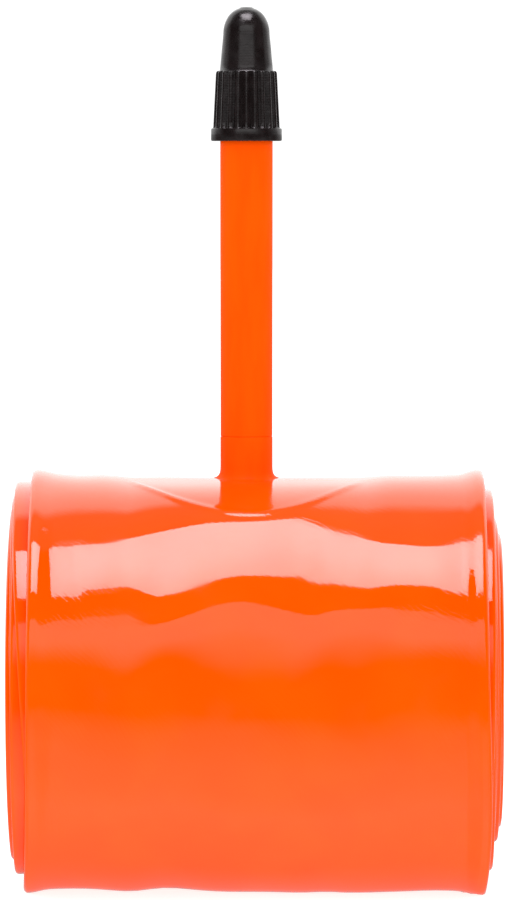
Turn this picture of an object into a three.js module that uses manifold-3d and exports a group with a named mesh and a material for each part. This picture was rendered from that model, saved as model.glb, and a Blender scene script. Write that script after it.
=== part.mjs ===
// Bicycle inner tube, flattened and rolled up for storage, with a slender plunger valve and its dust cap.
// Units are millimetres and +Z is up. The valve stands on the Z axis, the roll lies along X, and the
// origin is on the flat that the roll rests on, straight below the valve.
import * as THREE from 'three';
import { mergeVertices } from 'three/addons/utils/BufferGeometryUtils.js';
import Module from 'manifold-3d';

const wasm = await Module();
wasm.setup();

// ---- driving dimensions -------------------------------------------------------------------------
const WALL = 0.33; // the tube's wall
const STRIP = 2 * WALL; // the flattened tube: two walls pressed together
const SLACK = 0.18; // air between one strip and the next
const PITCH = 2 * (STRIP + SLACK); // what one turn of the double strip adds to the roll's radius
const ROLL_HEIGHT = 47.8; // from the flat underneath to the foot of the valve
const CORE_HOLE_RADIUS = 1.9; // the hole left along the middle of the roll
const REST_DROP = 0.8; // how far the underside is pressed flat
const REST_DEPTH = 14; // how deep into the roll that pressing is felt
const FREE_END_ANGLE = -80; // degrees from +Y: the outer fold lies underneath, just behind the lowest point
const VALVE_ANGLE = -270; // degrees from +Y, counted back along the strip: straight up
const TURN_STEPS = 36;

const LEFT_EDGE = -24.9; // the outermost winding's two fold edges
const RIGHT_EDGE = 27.5;

const BASE_RADIUS = 14; // the disc of the valve base
const BASE_THICKNESS = 0.6;
const FIT_GAP = 0.3; // clearance around a piece let into its neighbour
const VALVE_SWELL = 0.65; // extra room between the two walls where the disc lies
const BOSS_RADIUS = 3.03;
const BOSS_HEIGHT = 4.9;
const SPIGOT_RADIUS = 2.2;
const SPIGOT_LENGTH = 3;
const SPIGOT_GAP = 0.1;

const CAP_FOOT = 87; // height of the cap's lower rim
const STEM_TOP = CAP_FOOT + 0.5;
const STEM_RADIUS = 3;
const STEM_FOOT_RADIUS = 2.96;
const STEM_BORE = 1.5;
const STEM_SOCKET = 2.55; // holds the core bush
const STEM_SOCKET_FLOOR = 73.4;

const BUSH = { inner: 2.2, outer: 2.5, foot: 75.2, flange: 2.92, flangeHeight: 0.4 };
const CORE_SEAT = STEM_TOP + BUSH.flangeHeight;
const CORE = { foot: 77.4, neck: 1.75, neckTop: 79.6, barrel: 2.1, head: 2.6, top: 93.9, bore: 1, flats: 2.3 };
const GASKET = { inner: 1.8, outer: 2.15, foot: 77.9, top: 79.3 };
const PIN = { foot: 75.6, flare: 1.45, flareTop: 76.2, radius: 0.8, top: 99.2 };
const SEAL = { inner: 0.85, outer: 1.7, foot: 76.25, top: 77.35 };
const NUT = { radius: 1.8, valley: 1.62, teeth: 18, bore: 0.9, foot: 93.95, height: 3 };

const CAP = {
  collarRadius: 4, collarHeight: 1.5, collarRound: 0.25,
  ribCount: 22, ribDepth: 0.34, ribFootRadius: 3.83, ribTopRadius: 3.5, ribTop: 7.6,
  domeFootRadius: 3.04, domeShoulderRadius: 2.66, domeShoulder: 12.4, height: 15.5,
  mouth: 3.2, mouthTop: 1.3, bore: 2.75, boreTop: 7.2, chamber: 2.15, chamberFoot: 7.8, chamberTop: 12.4,
  chamberEnd: 13.9,
};

// ---- materials ----------------------------------------------------------------------------------
const finish = (name, color, roughness, metalness) =>
  new THREE.MeshStandardMaterial({ name, color, roughness, metalness });
const orangeFilm = finish('orange_film', 0xff5a00, 0.2, 0);
const orangeMoulding = finish('orange_moulding', 0xff5600, 0.35, 0);
const blackPlastic = finish('black_plastic', 0x221e20, 0.55, 0);
const brass = finish('brass', 0xc8a254, 0.35, 1);
const nickel = finish('nickel', 0xc9c5bd, 0.3, 1);
const whitePlastic = finish('white_plastic', 0xe9e6df, 0.5, 0);
const blackRubber = finish('black_rubber', 0x161616, 0.8, 0);

// ---- helpers ------------------------------------------------------------------------------------
const radians = THREE.MathUtils.degToRad;

function solid(geometry) {
  // A closed three.js geometry as a Manifold, its triangles turned to face outwards.
  const bare = geometry.clone();
  bare.deleteAttribute('normal');
  bare.deleteAttribute('uv');
  const merged = mergeVertices(bare, 1e-4);
  const corners = merged.index.array;
  const places = merged.attributes.position;
  const kept = [];
  const point = [new THREE.Vector3(), new THREE.Vector3(), new THREE.Vector3()];
  let volume = 0;
  for (let i = 0; i < corners.length; i += 3) {
    const [a, b, c] = [corners[i], corners[i + 1], corners[i + 2]];
    if (a === b || b === c || c === a) continue;
    kept.push(a, b, c);
    [a, b, c].forEach((corner, k) => point[k].fromBufferAttribute(places, corner));
    volume += point[0].dot(point[1].cross(point[2]));
  }
  if (volume < 0) {
    for (let i = 0; i < kept.length; i += 3) [kept[i], kept[i + 1]] = [kept[i + 1], kept[i]];
  }
  const vertProperties = new Float32Array(places.array);
  return new wasm.Manifold(new wasm.Mesh({ numProp: 3, vertProperties, triVerts: new Uint32Array(kept) }));
}

function named(name, manifold, material) {
  const { vertProperties, triVerts } = manifold.getMesh();
  const geometry = new THREE.BufferGeometry();
  geometry.setAttribute('position', new THREE.BufferAttribute(vertProperties, 3));
  geometry.setIndex(new THREE.BufferAttribute(triVerts, 1));
  geometry.computeVertexNormals();
  const mesh = new THREE.Mesh(geometry, material);
  mesh.name = name;
  return mesh;
}

function turned(profile, segments = 32) {
  // A solid of revolution about Z from [radius, height] pairs.
  const points = profile.map(([radius, height]) => new THREE.Vector2(radius, height));
  return solid(new THREE.LatheGeometry(points, segments).rotateX(Math.PI / 2));
}

function ring(inner, outer, foot, top, segments) {
  return turned([[inner, foot], [outer, foot], [outer, top], [inner, top], [inner, foot]], segments);
}

function rod(radius, foot, top, segments) {
  return turned([[0, foot], [radius, foot], [radius, top], [0, top]], segments);
}

function prism(outline, depth) {
  return new THREE.ExtrudeGeometry(new THREE.Shape(outline), { depth, bevelEnabled: false });
}

function toothed(count, outerRadius, valleyRadius) {
  // A closed outline with flat-crested teeth.
  const outline = [];
  const pitch = (2 * Math.PI) / count;
  const corners = [[-0.32, valleyRadius], [-0.18, outerRadius], [0.18, outerRadius], [0.32, valleyRadius]];
  for (let tooth = 0; tooth < count; tooth++) {
    for (const [place, radius] of corners) {
      const angle = (tooth + place) * pitch;
      outline.push(new THREE.Vector2(radius * Math.cos(angle), radius * Math.sin(angle)));
    }
  }
  return outline;
}

// ---- the roll -----------------------------------------------------------------------------------
// The flattened ring is a double strip. Its middle line is a spiral from the core to the free end.
const HALF_PAIR = STRIP + SLACK / 2; // from the middle line to either outer surface of the double strip
const EASE = (FREE_END_ANGLE - VALVE_ANGLE) / 360; // turns from the free end back to the valve
const LOWEST = (FREE_END_ANGLE + 90) / 360; // turns from the free end back to the lowest point
const FREE_END_RADIUS = (ROLL_HEIGHT + REST_DROP + PITCH * (EASE + LOWEST)) / 2;
const TOP_RADIUS = FREE_END_RADIUS - PITCH * EASE;
const AXIS_HEIGHT = ROLL_HEIGHT - TOP_RADIUS;
const MIDDLE_END = FREE_END_RADIUS - HALF_PAIR;
const STEPS = Math.round(((MIDDLE_END - HALF_PAIR - CORE_HOLE_RADIUS) / PITCH) * TURN_STEPS);

function spiral(step) {
  // The middle line at a step counted from the core, with its outward and forward directions.
  const turnsLeft = (STEPS - step) / TURN_STEPS;
  const angle = radians(FREE_END_ANGLE - 360 * turnsLeft);
  const outward = new THREE.Vector2(Math.cos(angle), Math.sin(angle));
  return { turnsLeft, radius: MIDDLE_END - PITCH * turnsLeft, outward, forward: new THREE.Vector2(-outward.y, outward.x) };
}

function pressed(place, isOutside) {
  // Presses the underside flat, and makes room under the top surface for the valve's disc.
  const radius = place.length();
  const swell = THREE.MathUtils.smoothstep(place.y / radius, 0.5, 0.78);
  if (!isOutside) {
    const share = (radius - CORE_HOLE_RADIUS) / (TOP_RADIUS - CORE_HOLE_RADIUS);
    place.multiplyScalar(1 - (VALVE_SWELL * swell * share) / radius);
  }
  const lowest = FREE_END_RADIUS - PITCH * LOWEST;
  const overhang = Math.sqrt(Math.max(lowest ** 2 - place.x ** 2, 0)) - AXIS_HEIGHT;
  if (place.y < 0 && overhang > 0) {
    place.y += overhang * THREE.MathUtils.clamp((radius - lowest + REST_DEPTH) / REST_DEPTH, 0, 1);
    if (isOutside && place.y < 0.2 - AXIS_HEIGHT) place.y = -AXIS_HEIGHT;
  }
  place.y += AXIS_HEIGHT;
  return place;
}

function foldEdges(depth) {
  // Where a winding's two fold edges lie: the windings inside the first have slid out sideways a little.
  const inside = Math.max(depth - 0.8, 0);
  const left = LEFT_EDGE - 2.6 * (1 - Math.exp(-inside / 0.7)) + 0.3 * Math.sin(4.1 * inside);
  const right = RIGHT_EDGE + 2 * (1 - Math.exp(-inside / 2.4)) + 0.25 * Math.sin(5.3 * inside);
  const endDrift = -1.2 * Math.exp(-((depth / 0.18) ** 2));
  return [left + endDrift, right];
}

function airTube() {
  const edges = new Map(); // fold edges by the outline point they belong to
  const keyOf = (x, y) => `${Math.fround(x)},${Math.fround(y)}`;
  const loop = (offset, bendSteps) => {
    const outline = [];
    const add = (step, across, along, isOutside) => {
      const { turnsLeft, radius, outward, forward } = spiral(step);
      const place = outward.clone().multiplyScalar(radius + across).addScaledVector(forward, along);
      pressed(place, isOutside);
      edges.set(keyOf(place.x, place.y), foldEdges(turnsLeft + (across < 0 ? 0.5 : 0)));
      outline.push(place);
    };
    const bend = (step, from) => {
      for (let k = 1; k < bendSteps; k++) {
        const angle = from + (Math.PI * k) / bendSteps;
        add(step, offset * Math.cos(angle), offset * Math.sin(angle), false);
      }
    };
    const isRim = offset === HALF_PAIR;
    for (let step = 0; step <= STEPS; step++) add(step, offset, 0, isRim && STEPS - step < TURN_STEPS);
    bend(STEPS, 0);
    for (let step = STEPS; step >= 0; step--) add(step, -offset, 0, false);
    bend(0, Math.PI);
    return outline;
  };
  const shape = new THREE.Shape(loop(HALF_PAIR, 6));
  shape.holes.push(new THREE.Path(loop(SLACK / 2, 2)));
  const geometry = new THREE.ExtrudeGeometry(shape, { depth: 1, bevelEnabled: false });
  const places = geometry.attributes.position;
  for (let i = 0; i < places.count; i++) {
    const [y, z, isRight] = [places.getX(i), places.getY(i), places.getZ(i) > 0.5];
    const [left, right] = edges.get(keyOf(y, z));
    places.setXYZ(i, isRight ? right : left, y, z);
  }
  const pocket = valveShell(TOP_RADIUS - BASE_THICKNESS - FIT_GAP, TOP_RADIUS + 2, BASE_RADIUS + FIT_GAP);
  return solid(geometry).subtract(pocket);
}

// ---- the valve ----------------------------------------------------------------------------------
function valveShell(inner, outer, radius) {
  // A round piece of curved plate, bent to the roll, centred on the valve.
  const halfAngle = 0.75;
  const arc = new THREE.Shape();
  arc.absarc(0, 0, outer, Math.PI / 2 - halfAngle, Math.PI / 2 + halfAngle, false);
  arc.absarc(0, 0, inner, Math.PI / 2 + halfAngle, Math.PI / 2 - halfAngle, true);
  const plate = new THREE.ExtrudeGeometry(arc, { depth: 4 * BASE_RADIUS, bevelEnabled: false, curveSegments: 18 });
  plate.translate(0, 0, -2 * BASE_RADIUS).rotateX(Math.PI / 2).rotateZ(Math.PI / 2);
  plate.translate(0, 0, AXIS_HEIGHT);
  return solid(plate).intersect(rod(radius, ROLL_HEIGHT - 12, ROLL_HEIGHT + 4, 40));
}

function valveBase() {
  const bossTop = ROLL_HEIGHT + BOSS_HEIGHT;
  const buried = ROLL_HEIGHT - BASE_THICKNESS / 2;
  const boss = turned([
    [0, buried], [BOSS_RADIUS + 0.5, buried], [BOSS_RADIUS + 0.45, ROLL_HEIGHT], [BOSS_RADIUS + 0.14, ROLL_HEIGHT + 0.12],
    [BOSS_RADIUS, ROLL_HEIGHT + 0.45], [BOSS_RADIUS, bossTop], [0, bossTop],
  ]);
  const socket = rod(SPIGOT_RADIUS + SPIGOT_GAP, bossTop - SPIGOT_LENGTH - SPIGOT_GAP, bossTop + 1);
  const bore = rod(STEM_BORE, ROLL_HEIGHT - 3, bossTop);
  const disc = valveShell(TOP_RADIUS - BASE_THICKNESS, TOP_RADIUS, BASE_RADIUS);
  return disc.add(boss).subtract(socket).subtract(bore);
}

function valveStem() {
  const foot = ROLL_HEIGHT + BOSS_HEIGHT;
  return turned([
    [STEM_BORE, foot - SPIGOT_LENGTH], [SPIGOT_RADIUS, foot - SPIGOT_LENGTH], [SPIGOT_RADIUS, foot],
    [STEM_FOOT_RADIUS, foot], [STEM_RADIUS, STEM_TOP], [STEM_SOCKET, STEM_TOP], [STEM_SOCKET, STEM_SOCKET_FLOOR],
    [STEM_BORE, STEM_SOCKET_FLOOR], [STEM_BORE, foot - SPIGOT_LENGTH],
  ]);
}

function coreBush() {
  return turned([
    [BUSH.inner, BUSH.foot], [BUSH.outer, BUSH.foot], [BUSH.outer, STEM_TOP], [BUSH.flange, STEM_TOP],
    [BUSH.flange, CORE_SEAT], [BUSH.inner, CORE_SEAT], [BUSH.inner, BUSH.foot],
  ]);
}

function coreBody() {
  const body = turned([
    [CORE.bore, CORE.foot], [CORE.neck, CORE.foot], [CORE.neck, CORE.neckTop], [CORE.barrel, CORE.neckTop],
    [CORE.barrel, CORE_SEAT], [CORE.head, CORE_SEAT], [CORE.head, CORE.top - 0.5], [CORE.head - 0.5, CORE.top],
    [CORE.bore, CORE.top], [CORE.bore, CORE.foot],
  ]);
  // Two wrench flats, cut down to just above the seat.
  const height = 6;
  const cutters = [-1, 1].map((side) =>
    solid(new THREE.BoxGeometry(8, 2, height).translate(0, side * (CORE.flats + 1), CORE_SEAT + 1 + height / 2)));
  return cutters.reduce((rest, cutter) => rest.subtract(cutter), body);
}

function corePin() {
  return turned([
    [0, PIN.foot], [PIN.flare - 0.3, PIN.foot], [PIN.flare, PIN.flareTop - 0.1], [PIN.flare, PIN.flareTop],
    [PIN.radius, PIN.flareTop], [PIN.radius, PIN.top - 0.3], [PIN.radius - 0.3, PIN.top], [0, PIN.top],
  ], 20);
}

function lockNut() {
  const body = solid(prism(toothed(NUT.teeth, NUT.radius, NUT.valley), NUT.height).translate(0, 0, NUT.foot));
  return body.subtract(rod(NUT.bore, NUT.foot - 1, NUT.foot + NUT.height + 1, 20));
}

// ---- the dust cap -------------------------------------------------------------------------------
function capRibs() {
  // The ribbed grip, a little wider at its foot than at its top.
  const grip = prism(toothed(CAP.ribCount, CAP.ribFootRadius, CAP.ribFootRadius - CAP.ribDepth),
    CAP.ribTop - CAP.collarHeight / 2);
  const places = grip.attributes.position;
  for (let i = 0; i < places.count; i++) {
    const scale = places.getZ(i) > 1 ? CAP.ribTopRadius / CAP.ribFootRadius : 1;
    places.setXY(i, places.getX(i) * scale, places.getY(i) * scale);
  }
  return solid(grip.translate(0, 0, CAP_FOOT + CAP.collarHeight / 2));
}

function dustCap() {
  const up = (profile) => profile.map(([radius, height]) => [radius, height + CAP_FOOT]);
  const dome = [[0, 0.5], [CAP.domeFootRadius, 0.5], [CAP.domeFootRadius, CAP.ribTop + 0.3]];
  for (let k = 0; k <= 6; k++) {
    const angle = (Math.PI / 2) * (k / 6);
    const height = CAP.domeShoulder + (CAP.height - CAP.domeShoulder) * Math.sin(angle);
    dome.push([k === 6 ? 0 : CAP.domeShoulderRadius * Math.cos(angle) ** 0.7, height]);
  }
  const { collarRadius: wide, collarHeight: tall, collarRound: round } = CAP;
  const collar = [[0, 0], [wide - round, 0], [wide, round], [wide, tall - round], [wide - round, tall], [0, tall]];
  const inside = [
    [0, -1], [CAP.mouth, -1], [CAP.mouth, CAP.mouthTop], [CAP.bore, CAP.mouthTop], [CAP.bore, CAP.boreTop],
    [CAP.chamber, CAP.chamberFoot], [CAP.chamber, CAP.chamberTop], [CAP.chamber * 0.5, CAP.chamberEnd - 0.2],
    [0, CAP.chamberEnd],
  ];
  return turned(up(dome), 44).add(turned(up(collar), 44)).add(capRibs()).subtract(turned(up(inside), 32));
}

// ---- assembly -----------------------------------------------------------------------------------
const group = new THREE.Group();
group.add(
  named('air_tube', airTube(), orangeFilm),
  named('valve_base', valveBase(), orangeMoulding),
  named('valve_stem', valveStem(), orangeMoulding),
  named('core_bush', coreBush(), brass),
  named('core_body', coreBody(), nickel),
  named('core_gasket', ring(GASKET.inner, GASKET.outer, GASKET.foot, GASKET.top), whitePlastic),
  named('core_pin', corePin(), nickel),
  named('pin_seal', ring(SEAL.inner, SEAL.outer, SEAL.foot, SEAL.top), blackRubber),
  named('lock_nut', lockNut(), nickel),
  named('dust_cap', dustCap(), blackPlastic),
);

export default group;
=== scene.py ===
# %% [markdown]
# # A rolled bicycle inner tube
# This lesson builds an inner tube made of thin, glossy orange plastic. It has been let down, pressed flat
# and rolled up, and its slender valve stands up out of the outermost winding with a black dust cap on top.
# The frame below holds the plain working parts at their real places. Each visible piece is made again here
# with finer detail, in the same place, and rides on the same moving body as the part that it replaces.

# %% Frame
import math
import bpy
import numpy as np
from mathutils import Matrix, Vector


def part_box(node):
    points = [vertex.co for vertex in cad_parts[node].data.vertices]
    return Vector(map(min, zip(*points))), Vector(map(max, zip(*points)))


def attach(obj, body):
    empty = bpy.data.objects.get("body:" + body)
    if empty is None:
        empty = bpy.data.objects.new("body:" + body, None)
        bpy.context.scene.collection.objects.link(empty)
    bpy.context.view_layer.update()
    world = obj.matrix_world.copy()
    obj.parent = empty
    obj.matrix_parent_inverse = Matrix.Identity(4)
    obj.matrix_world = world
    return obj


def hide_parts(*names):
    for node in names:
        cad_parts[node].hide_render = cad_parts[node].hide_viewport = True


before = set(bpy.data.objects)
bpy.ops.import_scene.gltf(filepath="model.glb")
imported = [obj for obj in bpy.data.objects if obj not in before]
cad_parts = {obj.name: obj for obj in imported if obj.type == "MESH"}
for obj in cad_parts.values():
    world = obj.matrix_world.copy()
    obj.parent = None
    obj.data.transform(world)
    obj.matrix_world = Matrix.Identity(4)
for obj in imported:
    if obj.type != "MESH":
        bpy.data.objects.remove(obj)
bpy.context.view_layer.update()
MM = 0.001
bpy.ops.object.select_all(action="DESELECT")

# %% [markdown]
# ## Places and sizes
# Sizes are in millimetres, because that is how a tube maker thinks of them, and become metres only when a
# mesh is finished. The valve's axis is the Z axis. Heights are read from the working parts, so the pieces
# made here fit them without any trial and error.

# %% Places read from the frame
def span(node, axis):
    """Lowest and highest place of a working part along one axis, in millimetres."""
    low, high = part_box(node)
    return low[axis] / MM, high[axis] / MM


ROLL_TOP = span("air_tube", 2)[1]
BOSS_TOP = span("valve_base", 2)[1]
STEM_FOOT, STEM_TOP = span("valve_stem", 2)
BUSH_FOOT, CORE_SEAT = span("core_bush", 2)
CORE_FOOT, CORE_TOP = span("core_body", 2)
GASKET_FOOT, GASKET_TOP = span("core_gasket", 2)
PIN_FOOT, PIN_TOP = span("core_pin", 2)
SEAL_FOOT, SEAL_TOP = span("pin_seal", 2)
NUT_FOOT, NUT_TOP = span("lock_nut", 2)
CAP_FOOT, CAP_TOP = span("dust_cap", 2)
DISC_RADIUS = span("valve_base", 0)[1]
print("roll top", round(ROLL_TOP, 2), "stem top", round(STEM_TOP, 2))
print("cap from", round(CAP_FOOT, 2), "to", round(CAP_TOP, 2))

# %% [markdown]
# ## Camera
# A long lens from 80 cm away, at the height of the cap's lower rim, tilted down a little. From so far off
# the roll hardly grows towards the viewer, which is how a product is usually shown.

# %% Camera
CAMERA_DISTANCE = 0.80
CAMERA_HEIGHT = 0.0865
CAMERA_ASIDE = 0.00105
CAMERA_TILT = math.radians(2.535)
FOCAL_LENGTH = 275.2
lens = bpy.data.cameras.new("long_lens")
lens.sensor_width = 36
lens.lens = FOCAL_LENGTH
camera = bpy.data.objects.new("camera", lens)
camera.location = (CAMERA_ASIDE, -CAMERA_DISTANCE, CAMERA_HEIGHT)
camera.rotation_euler = (math.pi / 2 - CAMERA_TILT, 0, 0)
bpy.context.scene.collection.objects.link(camera)
bpy.context.scene.camera = camera
print("camera", tuple(round(v, 4) for v in camera.location), "lens", lens.lens)

# %% [markdown]
# ## The tube as it is made: a ring
# A real tube is a long thin ring, made by welding the two ends of a thin-walled hose together. Pressed
# flat, it is a double strip, and rolled up from one end it is a double spiral. A Curve modifier could roll
# up a straight hose, but it can't keep the folds fat and the walls thin. So a grid is added, its rows are
# laid round the ring and its columns round the hose's section, and merging the two seams by distance welds
# it into a closed tube.

# %% Sizes of the roll
WALL = 0.33
WALL_PAIR = 2 * WALL  # two walls pressed together
SLACK = 0.18  # air between neighbouring windings
PITCH = 2 * (WALL_PAIR + SLACK)  # growth of the radius in one turn of the double strip
STRIP_OFFSET = (WALL_PAIR + SLACK) / 2  # from the middle of the double strip to the middle of either strip
CORE_HOLE = 1.9  # radius of the hole along the roll's axis
FOLD_HALF = 0.40  # half the thickness of the double strip's folds
FOLD_SWELL, FOLD_LIFT = 0.15, 0.13  # how much fatter and higher the outermost folds are
REST_DROP = 0.8  # how far the underside is pressed flat
REST_DEPTH = 14.0  # how deep into the roll that pressing is felt
FREE_END = -80.0  # where the outer fold lies, in degrees from +Y
VALVE_SWELL = 0.65  # room between the walls for the valve's disc
LEFT_EDGE, RIGHT_EDGE = -24.9, 27.5  # the outermost winding's folds

TURNS_TO_VALVE = (FREE_END + 270) / 360
TURNS_TO_LOWEST = (FREE_END + 90) / 360
END_RADIUS = (ROLL_TOP + REST_DROP + PITCH * (TURNS_TO_VALVE + TURNS_TO_LOWEST)) / 2
TOP_RADIUS = END_RADIUS - PITCH * TURNS_TO_VALVE
AXIS_HEIGHT = ROLL_TOP - TOP_RADIUS
HALF_PAIR = WALL_PAIR + SLACK / 2
MIDDLE_END = END_RADIUS - HALF_PAIR
TURNS = math.floor(36 * (MIDDLE_END - HALF_PAIR - CORE_HOLE) / PITCH) / 36
print("turns", round(TURNS, 2), "outer radius in mm", round(END_RADIUS, 2))
print("height of the roll's axis in mm", round(AXIS_HEIGHT, 2))

# %% [markdown]
# ## Where the mesh is fine
# The ring is followed out along the outer strip, round its fold at the free end, and back along the inner
# strip. Most of the tube is hidden in the roll, so the steps are half a degree only on the front of the
# outermost winding, where every small slope shows in the gloss.

# %% Steps along the ring
FINE_FROM, FINE_TO = 0.30, 0.55  # turns from the free end: the front of the roll, up to and over the valve
FIRST_TURN = 1.06  # turns from the free end within which the strip is the outside of the roll
PLAIN_BELOW = 3.2  # turns from the free end below which little is seen but the folds


def in_turns(degrees):
    return degrees / 360


def ring_stations():
    """One row for each step: turns from the free end, and the turn of the fold, 0 outside and pi inside."""
    inner = np.concatenate([np.arange(FIRST_TURN, PLAIN_BELOW, in_turns(8)),
                            np.arange(PLAIN_BELOW, TURNS - in_turns(6), in_turns(12)), [TURNS]])
    out = np.concatenate([np.arange(0, FINE_FROM, in_turns(3)),
                          np.arange(FINE_FROM, FINE_TO, in_turns(0.5)),
                          np.arange(FINE_TO, FIRST_TURN, in_turns(3)), inner])
    back = np.concatenate([np.arange(0, FIRST_TURN, in_turns(4)), inner])
    half_turn = np.linspace(0, math.pi, 9)[1:-1]
    rows = [(t, 0.0) for t in out[::-1]] + [(0.0, f) for f in half_turn]
    rows += [(t, math.pi) for t in back] + [(TURNS, math.pi + f) for f in half_turn]
    return np.array(rows)


stations = ring_stations()
print("steps round the ring:", len(stations))

# %% [markdown]
# ## The flattened hose
# Pressed flat, the hose has two long faces and a fat fold at each edge. The outer face gets the most
# columns, closer together near the folds, where the film curves most.

# %% The section of the flattened hose
EDGE_STEPS = (0.4, 0.7, 1.0, 1.3, 1.7, 2.1, 2.5, 2.9, 3.2, 3.5, 3.8, 4.2)  # mm in from a fold
PLAIN_STEPS = (0.4, 1.0, 2.1, 4.2)  # what is left of them deep in the roll
FACE_CELLS = 120  # cells across the outer face between its edge steps
BACK_STEPS = (0.4, 1.3, 3.0)
BACK_CELLS = 8
FOLD_STEPS = 6  # steps round each fat fold
PLAIN_GROUP, DEEP_GROUP = 4, 20  # how many cells fall together where the film is plain or deep in the roll


def section_columns():
    """Once round the section: (share of the width, mm in from the nearer fold, side, bend)."""
    columns = []
    for steps, cells, side in ((EDGE_STEPS, FACE_CELLS, 1), (BACK_STEPS, BACK_CELLS, -1)):
        face = [(0.0, s) for s in steps]
        face += [(k / cells, steps[-1]) for k in range(1, cells)]
        face += [(1.0, s) for s in reversed(steps)]
        columns += [(share, inset, side, 0.0) for share, inset in face[::side]]
        far_end = 1.0 if side > 0 else 0.0
        columns += [(far_end, np.nan, side, math.pi * k / FOLD_STEPS) for k in range(1, FOLD_STEPS)]
    return np.array(columns)


def thinned(share, inset, fine, plain):
    """Lets columns fall together where the film is plain or hidden, so that merging leaves fewer faces."""
    share_plain = np.round(share * FACE_CELLS / PLAIN_GROUP) / (FACE_CELLS / PLAIN_GROUP)
    share_deep = np.round(share * FACE_CELLS / DEEP_GROUP) / (FACE_CELLS / DEEP_GROUP)
    nearest = np.abs(np.array(PLAIN_STEPS)[:, None] - np.nan_to_num(inset)).argmin(axis=0)
    inset_deep = np.array(PLAIN_STEPS)[nearest]
    share = np.where(fine, share, np.where(plain, share_deep, share_plain))
    return share, np.where(plain, inset_deep, inset)


columns = section_columns()
print("points round the section:", len(columns))

# %% [markdown]
# ## Sideways drift
# Each winding has slid sideways a little against its neighbour, which is what makes the ends of the roll
# look stepped. The numbers say how far, in millimetres, and at what depth in turns from the free end.


# %% Folds of each winding
def smooth(low, high, value):
    """A soft step from 0 at low to 1 at high."""
    share = np.clip((value - low) / (high - low), 0, 1)
    return share * share * (3 - 2 * share)


def fold_edges(depth):
    """Left and right fold of a winding, by its depth in turns from the free end."""
    left = LEFT_EDGE - 1.9 * smooth(0.64, 0.95, depth) - 0.5 * smooth(1.5, 2.5, depth)
    left = left + 0.16 * np.sin(5.1 * depth) * smooth(1, 2, depth) - 1.1 * np.exp(-((depth / 0.16) ** 2))
    right = RIGHT_EDGE + 1.0 * smooth(0.8, 1.5, depth) + 0.9 * smooth(2.5, 4.5, depth)
    right = right + 0.16 * np.sin(5.9 * depth) * smooth(1, 2, depth)
    right = right + 0.5 * np.exp(-(((depth - 0.17) / 0.09) ** 2))
    return left, right


# %% [markdown]
# ## The film over the valve
# The valve grows out of a stiff round disc inside the tube, so the film over it bends less than the roll
# does, falls off the disc's rim in a sharp ridge, and hangs a little hollow below it. On a hard gloss, what
# the eye sees is the slope: a bright band starts where the film leans by one amount and ends where it leans
# by another. So the front is drawn by its slope, as a few soft flutes, and the slopes are added
# up into a shape.


# %% Shape of the disc
TOP_RISE = 0.38  # how far the film stands off the winding under it along the top
FOOT_DIP = 0.32  # how far it is drawn down over the valve's disc
DISC_START, DISC_CURVE = 0.08, 0.003  # slope near the stem, and growth of the slope per square millimetre


def disc_fall(ahead):
    """How far the film over the disc has fallen at a distance in front of the valve or behind it."""
    return DISC_START * (np.sqrt(ahead**2 + 1.44) - 1.2) + DISC_CURVE * np.abs(ahead) ** 3 / 3


def disc_lean(ahead):
    """The film's lean over the disc, in radians, which is the slope of disc_fall."""
    return np.arctan(DISC_START * ahead / np.sqrt(ahead**2 + 1.44) + DISC_CURVE * ahead**2)


# %% [markdown]
# ## Flutes
# A round roll leans by as many degrees as one has gone round from its top. On the real film a lean comes a
# little sooner or later, which bends the highlights. Each line below says where the film reaches one lean,
# so it also draws one edge of a highlight. Sculpting brushes could press such flutes in, but not so
# exactly.

# %% Flutes: where the film reaches each lean, as (mm along the roll, degrees round from the top)
FLUTES = {
    48.75: [(-24, 51), (-17, 51), (-11.5, 45.8), (-7.5, 44), (-3.5, 39.6), (1, 38.6), (5.6, 36.4),
            (7.5, 35.6), (8.4, 43.8), (11.5, 44.4), (15, 49.4), (19, 49.4), (21, 50.8), (24, 48.8),
            (27.5, 45.6)],
    63.75: [(-21.5, 66.6), (-14.6, 61.8), (-13, 61.4), (-10.6, 70), (-9, 69.4), (-4.4, 62.8), (-1, 60),
            (1.6, 60), (7.4, 62.6), (18.5, 62.4), (21.5, 63.4), (24.9, 66.8)],
    69.75: [(-22, 73), (-16, 71), (-13.2, 71.6), (-10, 73.6), (-5.9, 69.4), (-0.7, 67), (3, 67.6), (7, 69.6),
            (12.7, 67), (15, 67), (19, 71.6), (22, 71), (24.9, 71.4)],
}
FLUTES_START, FLUTES_END = 12.0, 84.0  # degrees from the top between which the front isn't round
LIP = 0.30  # extra lean where the film drops off the disc's rim, in radians
BEAD = 0.22  # how much flatter it lies just before, over the rim's rounded edge
TABLE_STEP = 0.25  # of the tables below, in millimetres along the roll and in degrees round it
TABLE_X = np.arange(-32, 32.01, TABLE_STEP)
TABLE_TURN = np.radians(np.arange(0, 180.1, TABLE_STEP))


def soft_path(place, points):
    """A curve that rises and falls softly from each point to the next."""
    value = points[0][1]
    for (start, low), (end, high) in zip(points, points[1:]):
        value = value + (high - low) * smooth(start, end, place)
    return value


def blurred(table, axis, reach):
    """Evens out a table along one axis, over about so many cells each way."""
    span_cells = np.arange(-3 * reach, 3 * reach + 1)
    weights = np.exp(-0.5 * (span_cells / reach) ** 2)
    padded = np.pad(table, [(3 * reach, 3 * reach) if k == axis else (0, 0) for k in (0, 1)], mode="edge")
    count = table.shape[axis]
    shares = weights / weights.sum()
    parts = [share * np.take(padded, range(k, k + count), axis=axis) for k, share in enumerate(shares)]
    return np.sum(parts, axis=0)


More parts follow.
